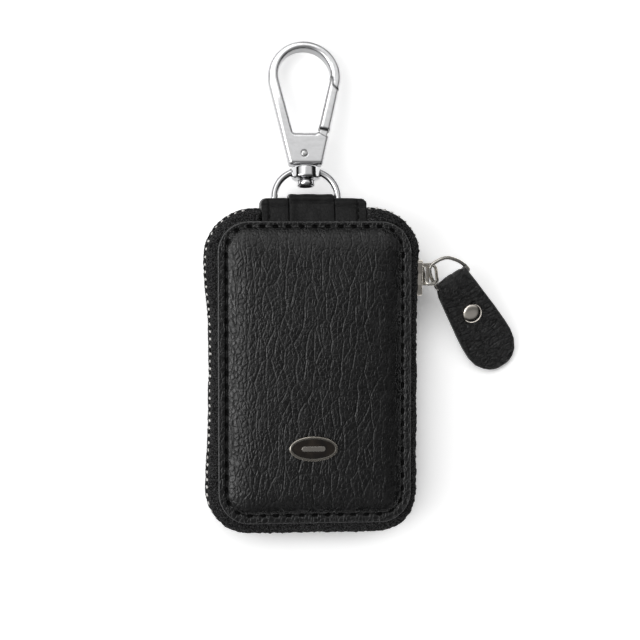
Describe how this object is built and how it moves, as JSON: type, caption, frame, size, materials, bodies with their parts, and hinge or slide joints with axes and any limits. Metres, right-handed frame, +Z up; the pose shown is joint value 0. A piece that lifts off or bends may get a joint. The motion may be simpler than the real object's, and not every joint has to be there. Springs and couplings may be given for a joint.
{
  "type": "key case",
  "caption": "Zip-around padded leather key case with hinged front, swivel snap hook, zip slider with leather pull, and an inner strap with a split key ring.",
  "frame": {"origin": "middle of the back pad's flat face, on the surface that the case lies on", "axes": "+X to the right seen from the front, +Y along the case towards the hook, +Z up out of the front panel"},
  "size_m": [0.0964, 0.1506, 0.0261],
  "materials": {
    "pebbled_leather": "black pebbled leather, low sheen",
    "smooth_leather": "black fine-grained leather",
    "lining_fabric": "black woven lining",
    "pad_foam": "dark open foam",
    "zip_tape": "black woven tape",
    "zip_metal": "dark nickel plate",
    "hook_chrome": "polished chrome plate",
    "inner_steel": "nickel-plated steel",
    "pull_nickel": "polished nickel plate",
    "badge_metal": "polished metal rim",
    "badge_enamel": "dark gloss enamel"
  },
  "bodies": {
    "back_half": {"back_leather": "pebbled_leather", "back_foam": "pad_foam", "back_lining": "lining_fabric", "back_zip_tape": "zip_tape", "back_zip_teeth": "zip_metal", "hinge_patch": "smooth_leather", "keeper_band": "smooth_leather", "key_strap": "smooth_leather", "key_strap_rivet": "inner_steel"},
    "front_half": {"front_leather": "pebbled_leather", "front_foam": "pad_foam", "front_lining": "lining_fabric", "front_zip_tape": "zip_tape", "front_zip_teeth": "zip_metal", "badge_base": "badge_metal", "badge_inlay": "badge_enamel", "badge_bar": "badge_metal"},
    "swivel": {"swivel_d_loop": "hook_chrome"},
    "hook": {"hook_body": "hook_chrome", "swivel_stem": "hook_chrome", "stem_cross_pin": "hook_chrome", "gate_pivot_pin": "inner_steel", "gate_spring": "inner_steel"},
    "gate": {"gate_lever": "hook_chrome"},
    "slider": {"slider_body": "pull_nickel", "slider_crown": "pull_nickel"},
    "link": {"pull_link": "pull_nickel"},
    "d_ring": {"pull_d_ring": "pull_nickel"},
    "tab": {"pull_tab": "smooth_leather", "pull_rivet_cap": "pull_nickel", "pull_rivet_base": "pull_nickel"},
    "split_ring": {"key_ring": "inner_steel"}
  },
  "joints": [
    {"name": "front_open", "type": "hinge", "parent": "back_half", "child": "front_half", "pos_m": [0, 0.0456, 0.0203], "axis": [-1, 0, 0], "range_deg": [0, 100]},
    {"name": "loop_swing", "type": "hinge", "parent": "back_half", "child": "swivel", "pos_m": [-0.0019, 0.0511, 0.0125], "axis": [1, 0, 0], "range_deg": [-32, 55]},
    {"name": "hook_swivel", "type": "hinge", "parent": "swivel", "child": "hook", "pos_m": [-0.0019, 0.0511, 0.0125], "axis": [0, 0.9804, -0.1972], "continuous": true},
    {"name": "gate_open", "type": "hinge", "parent": "hook", "child": "gate", "pos_m": [0.0031, 0.07002, 0.00869], "axis": [0, 0.1972, 0.9804], "range_deg": [0, 35], "stiffness_Nm_per_rad": 0.01, "springref_deg": -28.65, "deforming": ["gate_spring"]},
    {"name": "slider_run", "type": "slide", "parent": "back_half", "child": "slider", "axis": [0, -1, 0], "range_m": [0, 0.056], "deforming": ["front_zip_teeth", "back_zip_teeth"]},
    {"name": "link_swing", "type": "hinge", "parent": "slider", "child": "link", "pos_m": [0.03425, 0.0294, 0.0125], "axis": [0, 0.809, -0.5878], "range_deg": [-10, 2]},
    {"name": "ring_swing", "type": "hinge", "parent": "link", "child": "d_ring", "pos_m": [0.037, 0.0294, 0.0125], "axis": [0.0195, 0.9682, 0.2493], "range_deg": [-45, 15]},
    {"name": "tab_swing", "type": "hinge", "parent": "d_ring", "child": "tab", "pos_m": [0.04373, 0.02755, 0.01094], "axis": [0.8526, 0.5225, 0], "range_deg": [-60, 60]},
    {"name": "key_ring_swing", "type": "hinge", "parent": "back_half", "child": "split_ring", "pos_m": [0, 0.027, 0.0083], "axis": [-1, 0, 0], "range_deg": [-1.5, 18]}
  ]
}
